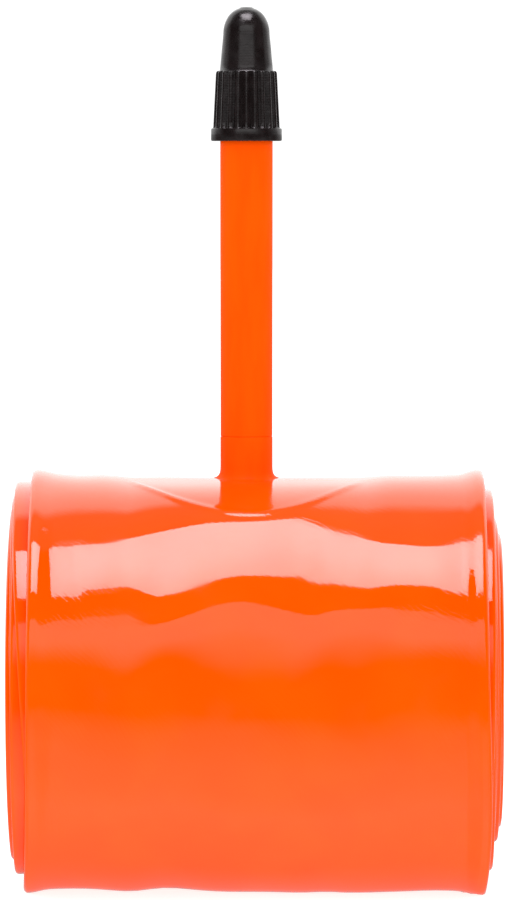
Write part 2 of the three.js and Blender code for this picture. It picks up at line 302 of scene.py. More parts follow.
def flute_lean(place):
    """How much more steeply than a round film one slice leans, in degrees, at each turn from the top."""
    rim = math.degrees(math.asin(math.sqrt(max(DISC_RADIUS**2 - place**2, 0)) / TOP_RADIUS))
    knots = [(max(rim + 1.2, FLUTES_START), 0.0)]
    for lean, points in FLUTES.items():
        at = max(soft_path(place, points), knots[-1][0] + 1.0)
        knots.append((at, lean - at))
    knots.append((FLUTES_END, 0.0))
    return np.interp(np.degrees(TABLE_TURN), *zip(*knots))


def film_shift(is_front):
    """How far the outermost film lies outside the plain spiral, at each place and each turn from the top."""
    place, turn = TABLE_X[:, None], TABLE_TURN[None]
    flutes = np.radians([flute_lean(x) for x in TABLE_X]) * is_front
    flutes = blurred(blurred(flutes, 1, 2), 0, 3)
    rim = np.arcsin(np.sqrt(np.maximum(DISC_RADIUS**2 - place**2, 0)) / TOP_RADIUS)
    at_rim = np.exp(-(((turn - rim) / math.radians(0.9)) ** 2))
    before_rim = np.exp(-(((turn - rim + math.radians(2.0)) / math.radians(1.1)) ** 2))
    edge = (LIP * at_rim - BEAD * before_rim * (1 - 0.6 * smooth(-4, 4, place))) * smooth(0.1, 0.35, rim)
    extra = np.where(turn < rim, disc_lean(TOP_RADIUS * np.sin(turn)) - turn, flutes) + edge

    # Adding up the extra lean from the top down gives the shape.
    shift = TOP_RADIUS * (np.exp(-np.cumsum(np.tan(blurred(extra, 1, 1)), axis=1) * TABLE_TURN[1]) - 1)
    over_disc = (1 - smooth(DISC_RADIUS - 1, DISC_RADIUS + 3, np.abs(place))) * (1 - smooth(0.12, 0.7, turn))
    shift = shift + TOP_RISE - FOOT_DIP * over_disc

    # Below the disc the film evens out along the roll, first a little and under the flutes much more.
    for reach, start, end in ((5, 24, 42), (24, 74, 94)):
        easing = smooth(math.radians(start), math.radians(end), turn)
        shift = shift + (blurred(shift, 0, reach) - shift) * easing
    last = int(FLUTES_END / TABLE_STEP)
    return shift - shift[:, last:last + 1] * smooth(math.radians(FLUTES_END), math.radians(150), turn)


FRONT_SHIFT, BACK_SHIFT = film_shift(1), film_shift(0)
print("film outside the spiral, in mm:", round(FRONT_SHIFT.min(), 2), "to", round(FRONT_SHIFT.max(), 2))


def looked_up(table, x, turn):
    """Reads a table between its rows and columns."""
    row = np.clip((x - TABLE_X[0]) / TABLE_STEP, 0, len(TABLE_X) - 1.001)
    column = np.clip(turn / TABLE_TURN[1], 0, len(TABLE_TURN) - 1.001)
    i, j = row.astype(int), column.astype(int)
    u, v = row - i, column - j
    return (table[i, j] * (1 - u) * (1 - v) + table[i + 1, j] * u * (1 - v)
            + table[i, j + 1] * (1 - u) * v + table[i + 1, j + 1] * u * v)


# %% [markdown]
# ## Ripples and fat folds
# A film that has been folded away is never quite even. Small waves with seeded random directions keep the
# back and the sides from looking machined. Along each fold the plastic won't crease sharply, so it stands
# up in a fat ridge.

# %% Ripples
rng = np.random.default_rng(7)
WAVES = [(rng.uniform(9, 26), rng.uniform(0, math.pi), rng.uniform(0, 2 * math.pi)) for _ in range(9)]
WAVE_SLOPE = 0.0022  # height of a wave for each millimetre of its length


def ripples(x, along):
    """Height of the waves at a place on the film, both in millimetres."""
    height = np.zeros(np.broadcast(x, along).shape)
    for length, heading, phase in WAVES:
        per_mm = 2 * math.pi / length
        across = x * math.cos(heading) + along * math.sin(heading)
        height += WAVE_SLOPE * length * np.sin(per_mm * across + phase)
    return height


def fold_ridges(from_left, from_right, turn):
    """Height of the ridges along the outermost winding's two folds, by the distance from each fold."""
    left_foot = 5.3 + 1.2 * smooth(math.radians(50), math.radians(68), turn)
    left_height = 0.22 + 0.40 * smooth(math.radians(20), math.radians(48), turn)
    left_height = left_height - 0.5 * smooth(math.radians(88), math.radians(112), turn)
    left = left_height * np.clip((left_foot - from_left) / (left_foot - 1.2), 0, 1)
    right_height = 0.22 + 0.16 * smooth(math.radians(46), math.radians(60), turn)
    right = right_height * np.clip((2.7 - from_right) / 1.5, 0, 1)
    return left + right


print("waves of", [round(length) for length, _, _ in WAVES], "mm")

# %% [markdown]
# ## Laying out the tube
# Every point gets its place on the spiral first, is then moved in or out with the shape, ridges and ripples
# of the film, and is last pressed flat where the roll stands on the table. The steps act on all points at
# once, because there are over a hundred thousand of them.

# %% Lay out the tube
def rolled_tube():
    """Places of all points, in rows round the ring and columns round the section, in millimetres."""
    depth, fold = stations[:, :1], stations[:, 1:]
    share, inset, side, bend = (columns[:, k][None] for k in range(4))
    is_bend = np.isnan(inset)
    is_fine = (fold == 0) & (depth >= FINE_FROM) & (depth <= FINE_TO) & (side > 0)
    share, inset = thinned(share, inset, is_fine, depth > PLAIN_BELOW)
    angle = np.radians(FREE_END - 360 * depth)
    outward = np.stack([np.cos(angle), np.sin(angle)])
    forward = np.stack([-np.sin(angle), np.cos(angle)])
    facing = np.cos(fold) * outward + np.sin(fold) * forward
    round_the_end = np.where(fold < math.pi, 1 - fold / math.pi, 0)
    outer = np.where(fold == 0, 1 - smooth(0.9, 1.02, depth), round_the_end)

    fat = FOLD_HALF + FOLD_SWELL * outer
    lift = FOLD_LIFT * outer
    half = WALL + (fat - WALL) * (1 - smooth(fat, fat + 2.4, inset))
    flat_part = side * half + lift * (1 - smooth(fat, fat + 3.5, inset))
    thick = np.where(is_bend, side * fat * np.cos(bend) + lift, flat_part)
    folded = np.where(fold <= math.pi, fold / math.pi, 2 - fold / math.pi)
    left, right = fold_edges(depth + 0.5 * folded)
    inward = np.where(is_bend, fat * (1 - np.sin(bend)), inset)
    x = (left + inward) * (1 - share) + (right - inward) * share

    reach = STRIP_OFFSET + thick
    y = outward[0] * (MIDDLE_END - PITCH * depth) + facing[0] * reach
    z = outward[1] * (MIDDLE_END - PITCH * depth) + facing[1] * reach
    radius = np.hypot(y, z)
    outside = (outer > 0.5) & (thick > 0)
    turn = np.abs(np.arctan2(y, z))

    # All windings follow the outermost one in and out, less the deeper they lie, and make room for the disc.
    share_felt = (radius - CORE_HOLE) / (TOP_RADIUS - CORE_HOLE)
    shift = np.where(y < 0, looked_up(FRONT_SHIFT, x, turn), looked_up(BACK_SHIFT, x, turn)) * share_felt
    swell = smooth(0.5, 0.78, z / radius) * (1 - smooth(15, 23, np.abs(x)))
    sunk = radius + shift - VALVE_SWELL * swell * share_felt
    from_left, from_right = x - left, right - x
    along = radius * np.arctan2(-y, z)
    by_hand = smooth(-2, 4, along) * (1 - smooth(34, 40, along))
    calm = smooth(4, 12, np.hypot(x, along)) * (1 - 0.6 * smooth(50, 75, np.abs(along)))
    calm = calm * (1 - 0.6 * by_hand) * smooth(1.5, 6, np.minimum(from_left, from_right))
    lying = radius + shift + fold_ridges(from_left, from_right, turn) + ripples(x, along) * calm
    new_radius = np.where(outside, lying, sunk)
    y, z = y * new_radius / radius, z * new_radius / radius

    # Press the underside flat.
    lowest = END_RADIUS - PITCH * TURNS_TO_LOWEST
    overhang = np.sqrt(np.maximum(lowest**2 - y**2, 0)) - AXIS_HEIGHT
    felt = np.clip((new_radius - lowest + REST_DEPTH) / REST_DEPTH, 0, 1)
    z = np.where((z < 0) & (overhang > 0), z + overhang * felt, z)

    # The roll is a little tighter at its left end, which stands clear of the floor.
    z = np.where(z < 0, z * (1 - 0.015 * (1 - smooth(-26, 14, x))), z)
    return np.stack([x, y, np.maximum(z + AXIS_HEIGHT, 0)], axis=-1)


# %% [markdown]
# ## Finishing a piece
# Every piece ends the same way: its doubles are merged, its faces are turned outwards, it is shaded
# smoothly, the working part that it stands for is hidden, and it is hung on the empty of the moving body it
# rides on.

# %% Finish a piece
def edit_all(piece):
    """Opens one piece in edit mode with everything on it selected."""
    bpy.ops.object.select_all(action="DESELECT")
    piece.select_set(True)
    bpy.context.view_layer.objects.active = piece
    bpy.ops.object.mode_set(mode="EDIT")
    bpy.ops.mesh.select_all(action="SELECT")


def finish_piece(piece, node, body, smooth_angle=None):
    """Merges doubles, turns faces outwards, shades, hides the working part it stands for, and hangs it on
    its body.
    """
    edit_all(piece)
    bpy.ops.mesh.remove_doubles(threshold=1e-7)
    bpy.ops.mesh.normals_make_consistent(inside=False)
    bpy.ops.mesh.select_all(action="DESELECT")
    bpy.ops.object.mode_set(mode="OBJECT")
    if smooth_angle is None:
        bpy.ops.object.shade_smooth()
    else:
        bpy.ops.object.shade_smooth_by_angle(angle=math.radians(smooth_angle))
    piece.select_set(False)
    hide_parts(node)
    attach(piece, body)
    triangles = sum(len(face.vertices) - 2 for face in piece.data.polygons)
    print(piece.name, "has", triangles, "triangles")


# %% [markdown]
# ## The tube's mesh
# A grid suits a sheet that closes on itself both ways. Its last row and column repeat the first, and
# merging by distance closes the two seams and thins out the columns that fell together.

# %% Mesh the tube
places = rolled_tube()
closed = np.concatenate([places, places[:1]])
closed = np.concatenate([closed, closed[:, :1]], axis=1)
rows, across = closed.shape[:2]
bpy.ops.object.select_all(action="DESELECT")
bpy.ops.mesh.primitive_grid_add(x_subdivisions=across - 1, y_subdivisions=rows - 1, size=1)
tube = bpy.context.object
tube.name = "rolled_tube"
tube.data.vertices.foreach_set("co", (closed * MM).astype(np.float32).ravel())
tube.data.update()
finish_piece(tube, "air_tube", "tube")

# %% [markdown]
# ## Turned pieces
# Everything in a valve is turned on a lathe or moulded in a turned mould, so one helper makes them all. It
# draws half of the section as a closed outline, from a circle primitive, and spins it once round the
# valve's axis. An outline that touches the axis first loses the edge that lies on it, because that edge
# would sweep out nothing.


# %% Lathe
def lathe(name, outline, steps):
    """A turned piece, from an outline of (radius, height) points in millimetres."""
    bpy.ops.object.select_all(action="DESELECT")
    bpy.ops.mesh.primitive_circle_add(vertices=len(outline), radius=MM)
    piece = bpy.context.object
    piece.name = name
    for vertex, (radius, height) in zip(piece.data.vertices, outline):
        vertex.co = (radius * MM, 0, height * MM)
    edit_all(piece)
    if outline[0][0] == 0:
        bpy.ops.mesh.select_all(action="DESELECT")
        bpy.ops.object.mode_set(mode="OBJECT")
        for edge in piece.data.edges:
            edge.select = all(outline[k][0] == 0 for k in edge.vertices)
        bpy.ops.object.mode_set(mode="EDIT")
        bpy.ops.mesh.select_mode(type="EDGE")
        bpy.ops.mesh.delete(type="EDGE")
        bpy.ops.mesh.select_mode(type="VERT")
        bpy.ops.mesh.select_all(action="SELECT")
    bpy.ops.mesh.spin(steps=steps, angle=2 * math.pi, center=(0, 0, 0), axis=(0, 0, 1))
    bpy.ops.mesh.select_all(action="SELECT")
    bpy.ops.mesh.remove_doubles(threshold=1e-7)
    bpy.ops.object.mode_set(mode="OBJECT")
    return piece


def rounded(radius, height, turn_in, turn_up, size=0.15):
    """Three points round a corner. turn_in and turn_up say on which sides of it the material lies."""
    bend = size * (1 - math.sqrt(0.5))
    return [(radius - turn_in * size, height), (radius - turn_in * bend, height - turn_up * bend),
            (radius, height - turn_up * size)]


def levels(low, high, step):
    """Evenly spaced heights, both ends left out."""
    count = max(round((high - low) / step), 2)
    return [low + (high - low) * k / count for k in range(1, count)]


def wall(radius, low, high, step):
    """Points up a straight wall, both ends left out."""
    return [(radius, z) for z in levels(low, high, step)]


def taper(height, low, high, at_low, at_high):
    """The radius at a height on an even taper."""
    return at_low + (at_high - at_low) * (height - low) / (high - low)


def tapered(low, high, at_low, at_high, start, step):
    """Points up an even taper from a starting height, both ends left out."""
    return [(taper(z, low, high, at_low, at_high), z) for z in levels(start, high, step)]


# %% [markdown]
# ## Threads, flats and ribs
# Details that aren't round are pressed into a turned piece by moving its points by a rule. Cutting a real
# helix with a Screw modifier and a boolean would leave long thin faces, and nobody could see the
# difference.

# %% Move points by a rule
def each_point(piece, move):
    """Moves every point of a piece: move(x, y, z) gives the new place, all in millimetres."""
    count = len(piece.data.vertices)
    flat = np.empty(count * 3, dtype=np.float32)
    piece.data.vertices.foreach_get("co", flat)
    x, y, z = (flat.reshape(count, 3) / MM).T.astype(float)
    moved = np.stack(move(x, y, z), axis=-1) * MM
    piece.data.vertices.foreach_set("co", moved.astype(np.float32).ravel())
    piece.data.update()


def cut_thread(piece, low, high, crest, pitch, depth):
    """Cuts a screw thread into the points that lie on the crest between two heights."""
    def move(x, y, z):
        radius = np.hypot(x, y)
        on_crest = (np.abs(radius - crest) < 0.02) & (z > low) & (z < high)
        wave = 0.5 - 0.5 * np.cos(2 * math.pi * z / pitch - np.arctan2(y, x))
        fade = smooth(low, low + 0.5 * pitch, z) * (1 - smooth(high - 0.5 * pitch, high, z))
        scale = np.where(on_crest, 1 - depth * wave**0.8 * fade / np.maximum(radius, 0.01), 1)
        return x * scale, y * scale, z
    each_point(piece, move)


# %% [markdown]
# ## The valve's foot
# The valve is moulded onto a round plate that is welded under the film. The plate is turned flat, with the
# boss standing on it, and then bent down to the shape of the film above it.

# %% Valve foot
DISC_TOP = ROLL_TOP + TOP_RISE - FOOT_DIP - WALL - 0.03
DISC_THICKNESS = 0.6
BOSS_RADIUS = 3.03
BORE = 1.5
SPIGOT_RADIUS = 2.2
SPIGOT_GAP = 0.1
FILM_TOP = ROLL_TOP + TOP_RISE - FOOT_DIP

underside = DISC_TOP - DISC_THICKNESS
disc_rings = [DISC_RADIUS - 0.3 - 0.6 * k for k in range(1, 16)]
foot_outline = [
    (BORE, underside), *[(r, underside) for r in reversed(disc_rings)], (DISC_RADIUS - 0.3, underside),
    (DISC_RADIUS, underside + 0.3), (DISC_RADIUS - 0.2, DISC_TOP), *[(r, DISC_TOP) for r in disc_rings],
    (4.1, DISC_TOP), (4.05, FILM_TOP - 0.06), (3.75, FILM_TOP + 0.02), (3.45, FILM_TOP + 0.14),
    (3.25, FILM_TOP + 0.32), (3.12, FILM_TOP + 0.56), (3.05, FILM_TOP + 0.9),
    (BOSS_RADIUS, FILM_TOP + 1.3), (BOSS_RADIUS, BOSS_TOP - 0.08), (BOSS_RADIUS - 0.08, BOSS_TOP),
    (SPIGOT_RADIUS + SPIGOT_GAP, BOSS_TOP), (SPIGOT_RADIUS + SPIGOT_GAP, STEM_FOOT - SPIGOT_GAP),
    (BORE, STEM_FOOT - SPIGOT_GAP),
]
valve_foot = lathe("valve_foot", foot_outline, 96)


def bend_plate(x, y, z):
    """Bends the plate and the fillet down with the film, and leaves the boss straight."""
    share = 1 - smooth(FILM_TOP - 0.1, FILM_TOP + 1.2, z)
    return x, y, z - disc_fall(y) * share


each_point(valve_foot, bend_plate)
finish_piece(valve_foot, "valve_base", "tube", 40)

# %% [markdown]
# ## The stem
# The stem is a smooth moulded tube, a hair thinner than the boss at its foot, so a faint joint shows. Its
# top is opened out into a socket for the brass bush.

# %% Stem
STEM_RADIUS, STEM_FOOT_RADIUS = 3.05, 3.01
SOCKET_RADIUS, SOCKET_FLOOR = 2.55, 73.4
stem_outline = [
    (BORE, STEM_FOOT), (SPIGOT_RADIUS, STEM_FOOT), (SPIGOT_RADIUS, BOSS_TOP),
    (STEM_FOOT_RADIUS - 0.08, BOSS_TOP), (STEM_FOOT_RADIUS, BOSS_TOP + 0.08),
    *tapered(BOSS_TOP, STEM_TOP, STEM_FOOT_RADIUS, STEM_RADIUS, BOSS_TOP, 1.5),
    *rounded(STEM_RADIUS, STEM_TOP, 1, 1, 0.1)[::-1], (SOCKET_RADIUS + 0.05, STEM_TOP),
    (SOCKET_RADIUS, STEM_TOP - 0.05), *wall(SOCKET_RADIUS, SOCKET_FLOOR, STEM_TOP, 1.5)[::-1],
    (SOCKET_RADIUS, SOCKET_FLOOR), (BORE, SOCKET_FLOOR), *wall(BORE, STEM_FOOT, SOCKET_FLOOR, 2)[::-1],
]
stem = lathe("stem_tube", stem_outline, 96)
finish_piece(stem, "valve_stem", "tube", 40)

# %% [markdown]
# ## The brass bush
# A turned sleeve pressed into the stem. Its flange covers the stem's end, and the screwed core seats on it.

# %% Bush
BUSH_INNER, BUSH_OUTER, FLANGE_RADIUS = 2.2, 2.5, 2.92
bush_outline = [
    (BUSH_INNER, BUSH_FOOT), (BUSH_OUTER - 0.1, BUSH_FOOT), (BUSH_OUTER, BUSH_FOOT + 0.1),
    *wall(BUSH_OUTER, BUSH_FOOT + 0.2, STEM_TOP, 0.15), (BUSH_OUTER, STEM_TOP),
    (FLANGE_RADIUS - 0.06, STEM_TOP), (FLANGE_RADIUS, STEM_TOP + 0.06),
    (FLANGE_RADIUS, CORE_SEAT - 0.1), (FLANGE_RADIUS - 0.1, CORE_SEAT), (BUSH_INNER + 0.12, CORE_SEAT),
    (BUSH_INNER, CORE_SEAT - 0.12), *wall(BUSH_INNER, BUSH_FOOT, CORE_SEAT - 0.12, 1)[::-1],
]
bush = lathe("brass_bush", bush_outline, 72)
cut_thread(bush, BUSH_FOOT + 0.5, STEM_TOP - 1, BUSH_OUTER, 0.9, 0.12)
finish_piece(bush, "core_bush", "tube", 50)

# %% [markdown]
# ## The valve core
# The plated core screws into the bush by the thread on its barrel, and the dust cap screws onto the coarser
# thread on its head. Two flats on the head are for a small wrench. A thread is a groove on a helix: its
# depth at a point follows from the point's height and bearing.

# %% Core
CORE_BORE, NECK_RADIUS, BARREL_RADIUS, HEAD_RADIUS = 1.0, 1.75, 2.1, 2.6
NECK_TOP = 79.6
FLATS = 2.3
FLATS_FOOT = CORE_SEAT + 1.0
core_outline = [
    (CORE_BORE, CORE_FOOT), (NECK_RADIUS - 0.1, CORE_FOOT), (NECK_RADIUS, CORE_FOOT + 0.1),
    (NECK_RADIUS, NECK_TOP - 0.1), (NECK_RADIUS + 0.05, NECK_TOP), (BARREL_RADIUS - 0.12, NECK_TOP),
    (BARREL_RADIUS, NECK_TOP + 0.12), *wall(BARREL_RADIUS, NECK_TOP + 0.12, CORE_SEAT, 0.09),
    (BARREL_RADIUS, CORE_SEAT), (HEAD_RADIUS - 0.15, CORE_SEAT), (HEAD_RADIUS, CORE_SEAT + 0.15),
    *wall(HEAD_RADIUS, CORE_SEAT + 0.15, CORE_TOP - 0.5, 0.09), (HEAD_RADIUS, CORE_TOP - 0.5),
    (HEAD_RADIUS - 0.5, CORE_TOP), (CORE_BORE + 0.1, CORE_TOP), (CORE_BORE, CORE_TOP - 0.1),
    *wall(CORE_BORE, CORE_FOOT, CORE_TOP - 0.1, 2)[::-1],
]
core = lathe("valve_core", core_outline, 96)
cut_thread(core, NECK_TOP + 1.2, NECK_TOP + 5, BARREL_RADIUS, 0.7, 0.2)
cut_thread(core, CORE_SEAT + 0.3, CORE_TOP - 0.4, HEAD_RADIUS, 1.058, 0.3)


def cut_flats(x, y, z):
    """Flattens two sides of the head for a wrench."""
    return x, np.where(z > FLATS_FOOT, np.clip(y, -FLATS, FLATS), y), z


each_point(core, cut_flats)
finish_piece(core, "core_body", "core", 35)

# %% [markdown]
# ## The gasket
# The white gasket is a plain ring round the core's neck. A torus would be too round for it, so it is turned
# from a small rectangle with rounded outer corners.

# %% Gasket
GASKET_INNER, GASKET_OUTER = 1.8, 2.15
gasket_outline = [
    (GASKET_INNER, GASKET_FOOT), *rounded(GASKET_OUTER, GASKET_FOOT, 1, -1),
    *rounded(GASKET_OUTER, GASKET_TOP, 1, 1)[::-1], (GASKET_INNER, GASKET_TOP),
]
gasket = lathe("white_gasket", gasket_outline, 64)
finish_piece(gasket, "core_gasket", "core", 40)

# %% [markdown]
# ## The plunger
# The plunger is a thin plated pin that runs right through the core. Its foot flares to carry the seal, and
# its top has a fine thread for the lock nut. Its outline starts and ends on the axis.

# %% Plunger
FLARE_RADIUS, PLUNGER_RADIUS = 1.45, 0.8
FLARE_TOP = PIN_FOOT + 0.6
pin_outline = [
    (0, PIN_FOOT), (FLARE_RADIUS - 0.3, PIN_FOOT), (FLARE_RADIUS - 0.08, PIN_FOOT + 0.25),
    (FLARE_RADIUS, FLARE_TOP - 0.12), (FLARE_RADIUS - 0.06, FLARE_TOP), (PLUNGER_RADIUS, FLARE_TOP),
    *wall(PLUNGER_RADIUS, FLARE_TOP, NUT_FOOT - 1, 2),
    *wall(PLUNGER_RADIUS, NUT_FOOT - 1, PIN_TOP - 0.3, 0.06), (PLUNGER_RADIUS, PIN_TOP - 0.3),
    (PLUNGER_RADIUS - 0.1, PIN_TOP - 0.09), (PLUNGER_RADIUS - 0.3, PIN_TOP), (0, PIN_TOP),
]
plunger = lathe("plunger", pin_outline, 48)
cut_thread(plunger, NUT_FOOT - 0.9, PIN_TOP - 0.4, PLUNGER_RADIUS, 0.45, 0.1)
finish_piece(plunger, "core_pin", "pin", 40)

# %% [markdown]
# ## The seal
# The seal is a soft black rubber ring on the plunger, above its flare. Air presses it up against the end of
# the core's bore, so its upper side is a cone.

# %% Seal
SEAL_INNER, SEAL_OUTER = 0.85, 1.7
seal_outline = [
    (SEAL_INNER, SEAL_FOOT), *rounded(SEAL_OUTER, SEAL_FOOT, 1, -1, 0.25),
    (SEAL_OUTER - 0.05, SEAL_TOP - 0.6), (SEAL_OUTER - 0.35, SEAL_TOP - 0.1),
    (SEAL_OUTER - 0.5, SEAL_TOP), (SEAL_INNER, SEAL_TOP),
]
seal = lathe("rubber_seal", seal_outline, 64)
finish_piece(seal, "pin_seal", "pin", 40)

# %% [markdown]
# ## The lock nut
# A fingertip opens this nut, so its rim is knurled in two bands. It is turned with eight segments to each
# tooth, and then the hollows between the teeth are pressed in.

# %% Knurled nut
NUT_RADIUS, NUT_VALLEY, NUT_BORE, NUT_TEETH = 1.8, 1.62, 0.9, 18
nut_outline = [
    (NUT_BORE, NUT_FOOT), (NUT_VALLEY - 0.12, NUT_FOOT), (NUT_RADIUS - 0.08, NUT_FOOT + 0.14),
    (NUT_RADIUS, NUT_FOOT + 0.25), (NUT_RADIUS, NUT_FOOT + 1.35), (NUT_RADIUS - 0.22, NUT_FOOT + 1.45),
    (NUT_RADIUS - 0.22, NUT_FOOT + 1.6), (NUT_RADIUS, NUT_FOOT + 1.7), (NUT_RADIUS, NUT_TOP - 0.25),
    (NUT_RADIUS - 0.08, NUT_TOP - 0.14), (NUT_VALLEY - 0.12, NUT_TOP), (NUT_BORE + 0.08, NUT_TOP),
    (NUT_BORE, NUT_TOP - 0.08),
]
nut = lathe("knurled_nut", nut_outline, NUT_TEETH * 8)


def knurl(x, y, z):
    """Presses the hollows between the teeth into the nut's rim."""
    radius, bearing = np.hypot(x, y), np.arctan2(y, x)
    tooth = smooth(-0.45, 0.45, np.cos(NUT_TEETH * bearing))
    tooth_radius = NUT_VALLEY + (NUT_RADIUS - NUT_VALLEY) * tooth
    cut = np.where(radius > NUT_VALLEY, np.minimum(radius, tooth_radius), radius)
    return x * cut / radius, y * cut / radius, z


each_point(nut, knurl)
finish_piece(nut, "lock_nut", "nut", 35)

# %% [markdown]
# ## The dust cap
# The cap is one moulding: a smooth blunt nose, a ribbed grip, and a collar round its mouth. It is turned as
# a smooth shape first, with eight segments to each rib, and then the valleys between the ribs are pressed
# in. A tiny hollow at the tip is where the plastic was let into the mould.

# %% Dust cap outline
RIBS, RIB_DEPTH = 22, 0.4
RIB_FOOT_RADIUS, RIB_TOP_RADIUS = 3.9, 3.57
COLLAR_RADIUS, COLLAR_TOP, COLLAR_ROUND = 4.12, 1.5, 0.16
RIB_FOOT, RIB_TOP = 1.55, 8.15  # heights above the cap's foot
NOSE_FOOT_RADIUS, SHOULDER_RADIUS, SHOULDER = 3.1, 2.7, 12.4
GATE_RADIUS, GATE_DEPTH = 0.62, 0.2
DOME_STEPS, DOME_POWER = 13, 0.85  # a power below 1 makes the dome blunter than a ball
CAP_HEIGHT = CAP_TOP - CAP_FOOT


def rib_radius(height):
    return taper(height, RIB_FOOT, RIB_TOP, RIB_FOOT_RADIUS, RIB_TOP_RADIUS)


cap_outline = [
    (0, 13.9), (0.6, 13.86), (1.1, 13.7), (1.7, 13.2), (2.15, 12.4), (2.15, 7.8), (2.75, 7.2),
    (2.75, 4), (2.75, 1.3), (3.2, 1.3), (3.2, 0.15), (3.35, 0),
    *rounded(COLLAR_RADIUS, 0, 1, -1, COLLAR_ROUND),
    *rounded(COLLAR_RADIUS, COLLAR_TOP, 1, 1, COLLAR_ROUND)[::-1],
    (RIB_FOOT_RADIUS + 0.02, COLLAR_TOP + 0.01), (rib_radius(RIB_FOOT + 0.1), RIB_FOOT + 0.1),
    *[(rib_radius(h), h) for h in levels(RIB_FOOT + 0.1, RIB_TOP - 0.35, 0.5)],
    (rib_radius(RIB_TOP - 0.35), RIB_TOP - 0.35), (RIB_TOP_RADIUS - 0.04, RIB_TOP - 0.14),
    (RIB_TOP_RADIUS - 0.14, RIB_TOP - 0.03), (RIB_TOP_RADIUS - 0.28, RIB_TOP),
    (NOSE_FOOT_RADIUS + 0.06, RIB_TOP), (NOSE_FOOT_RADIUS - 0.01, RIB_TOP + 0.08),
    *tapered(RIB_TOP, SHOULDER, NOSE_FOOT_RADIUS, SHOULDER_RADIUS, RIB_TOP + 0.08, 0.6),
]
for k in range(DOME_STEPS):
    turn = math.pi / 2 * k / DOME_STEPS
    height = SHOULDER + (CAP_HEIGHT - SHOULDER) * math.sin(turn)
    cap_outline.append((SHOULDER_RADIUS * math.cos(turn) ** DOME_POWER, height))
cap_outline = [(r, h) for r, h in cap_outline if h < CAP_HEIGHT - 0.05 or r > GATE_RADIUS + 0.1]
cap_outline += [
    (GATE_RADIUS + 0.06, CAP_HEIGHT), (GATE_RADIUS - 0.04, CAP_HEIGHT - 0.05),
    (GATE_RADIUS - 0.1, CAP_HEIGHT - GATE_DEPTH), (0.15, CAP_HEIGHT - GATE_DEPTH + 0.03),
    (0, CAP_HEIGHT - GATE_DEPTH + 0.04),
]
print("points on the cap's outline:", len(cap_outline))

# %% [markdown]
# ## The cap's grip
# The ribs are broad and round and the valleys between them narrow and sharp, so a valley's depth follows a
# high power of a cosine. Pressing them into the turned shape keeps every rib exactly alike.

# %% Dust cap
cap = lathe("dust_cap_shell", [(radius, height + CAP_FOOT) for radius, height in cap_outline], RIBS * 8)


def press_ribs(x, y, z):
    """Presses the valleys into the grip."""
    radius, bearing = np.maximum(np.hypot(x, y), 1e-6), np.arctan2(y, x)
    height = z - CAP_FOOT
    valley = np.abs(np.cos(RIBS / 2 * bearing)) ** 3
    on_grip = (height > RIB_FOOT) & (height < RIB_TOP + 0.01) & (radius > NOSE_FOOT_RADIUS + 0.1)
    cut = np.where(on_grip, np.minimum(radius, rib_radius(height) - RIB_DEPTH * valley), radius)
    return x * cut / radius, y * cut / radius, z


each_point(cap, press_ribs)
finish_piece(cap, "dust_cap", "cap", 40)

# %% [markdown]
# ## Finishes
# Each finish is a Principled shader with procedural nodes on Object coordinates, so the pattern stays on
# the piece wherever it goes. A constant, such as a metal's 1.0 or a plastic's gloss, sits on the shader's
# own socket. What varies over the surface comes from noise: a small change of colour, a change of roughness
# where hands have rubbed, and a fine bump that breaks up the edges of reflections.


# %% Helpers for finishes
def finish(name, roughness, metallic=0.0, specular=0.5):
    """A new material, with its node tree, its shader and its Object coordinates."""
    material = bpy.data.materials.new(name)
    material.use_nodes = True
    tree = material.node_tree
    shader = tree.nodes["Principled BSDF"]
    shader.inputs["Roughness"].default_value = roughness
    shader.inputs["Metallic"].default_value = metallic
    shader.inputs["Specular IOR Level"].default_value = specular
    place = tree.nodes.new("ShaderNodeTexCoord").outputs["Object"]
    return material, tree, shader, place


def added(tree, kind, inputs):
    """A new node, with each of the named inputs set to a value or linked to a socket."""
    node = tree.nodes.new("ShaderNode" + kind)
    for key, value in inputs.items():
        if isinstance(value, bpy.types.NodeSocket):
            tree.links.new(value, node.inputs[key])
        else:
            node.inputs[key].default_value = value
    return node


def stretched(tree, place, scale):
    """Object coordinates stretched, for grain that runs one way."""
    return added(tree, "Mapping", {"Vector": place, "Scale": scale}).outputs["Vector"]


def noise(tree, place, size, detail=3.0):
    """Noise whose blotches are about this many millimetres across."""
    inputs = {"Vector": place, "Scale": 1 / (size * MM), "Detail": detail}
    return added(tree, "TexNoise", inputs).outputs["Fac"]


def ranged(tree, value, low, high, to_low, to_high):
    """Maps one range of a value to another, softly."""
    inputs = {"Value": value, "From Min": low, "From Max": high, "To Min": to_low, "To Max": to_high}
    node = added(tree, "MapRange", inputs)
    node.interpolation_type = "SMOOTHSTEP"
    return node.outputs["Result"]


def coloured(tree, shader, share, colour_low, colour_high):
    """Mixes two base colours by a value from 0 to 1."""
    node = added(tree, "Mix", {0: share, 6: (*colour_low, 1), 7: (*colour_high, 1)})
    node.data_type = "RGBA"
    tree.links.new(node.outputs[2], shader.inputs["Base Color"])


def roughened(tree, shader, value, low, high, at_low, at_high):
    """Lets the roughness follow a value."""
    tree.links.new(ranged(tree, value, low, high, at_low, at_high), shader.inputs["Roughness"])


def banded(tree, place, direction, scale, distortion):
    """Bands, distorted into the look of folds or of the rings left by a mould."""
    node = added(tree, "TexWave", {"Vector": place, "Scale": scale, "Distortion": distortion})
    node.bands_direction = direction
    return node


def calculated(tree, operation, first, second=0.0):
    """One sum on one or two values."""
    node = added(tree, "Math", {0: first, 1: second})
    node.operation = operation
    return node.outputs[0]


def parted(tree, vector):
    """A vector's three parts, as sockets."""
    return added(tree, "SeparateXYZ", {0: vector}).outputs


